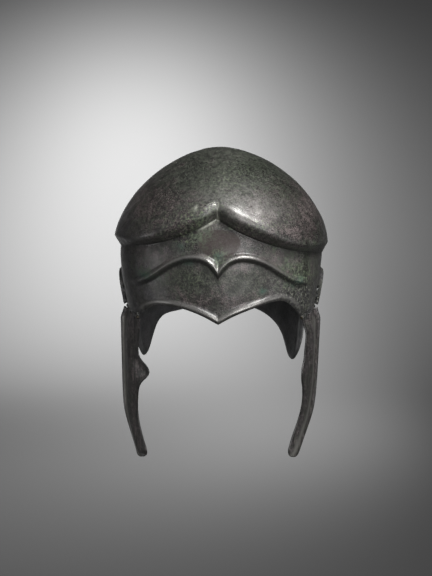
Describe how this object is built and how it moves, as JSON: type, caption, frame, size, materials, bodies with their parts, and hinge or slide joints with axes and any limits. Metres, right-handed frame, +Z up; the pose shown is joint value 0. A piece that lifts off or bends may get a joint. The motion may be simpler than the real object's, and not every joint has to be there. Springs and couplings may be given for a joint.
{
  "type": "chalcidian helmet",
  "caption": "Ancient Greek style helmet of dark bronze: domed skull with a peaked ledge and eyebrow ridge, open face, ear notches, neck guard and hinged cheekpieces",
  "frame": {"origin": "inside of the top of the crown, where the head carries the helmet", "axes": "+Z up along the head, -Y is where the face looks, +X is the wearer's left"},
  "size_m": [0.2047, 0.2398, 0.2916],
  "materials": {
    "bronze_sheet": "dark brown patinated hammered bronze with green and pale corrosion",
    "pin_bronze": "dull worn bronze wire"
  },
  "bodies": {
    "helmet": {"shell": "bronze_sheet", "hinge_pin_left": "pin_bronze", "hinge_pin_right": "pin_bronze"},
    "cheekpiece_left": {"cheekpiece_left": "bronze_sheet"},
    "cheekpiece_right": {"cheekpiece_right": "bronze_sheet"}
  },
  "joints": [
    {"name": "cheekpiece_left_hinge", "type": "hinge", "parent": "helmet", "child": "cheekpiece_left", "pos_m": [0.0831, -0.03755, -0.1506], "axis": [-0.2348, -0.9721, 0], "range_deg": [-8, 75]},
    {"name": "cheekpiece_right_hinge", "type": "hinge", "parent": "helmet", "child": "cheekpiece_right", "pos_m": [-0.0831, -0.03755, -0.1506], "axis": [-0.2348, 0.9721, 0], "range_deg": [-8, 75]}
  ]
}
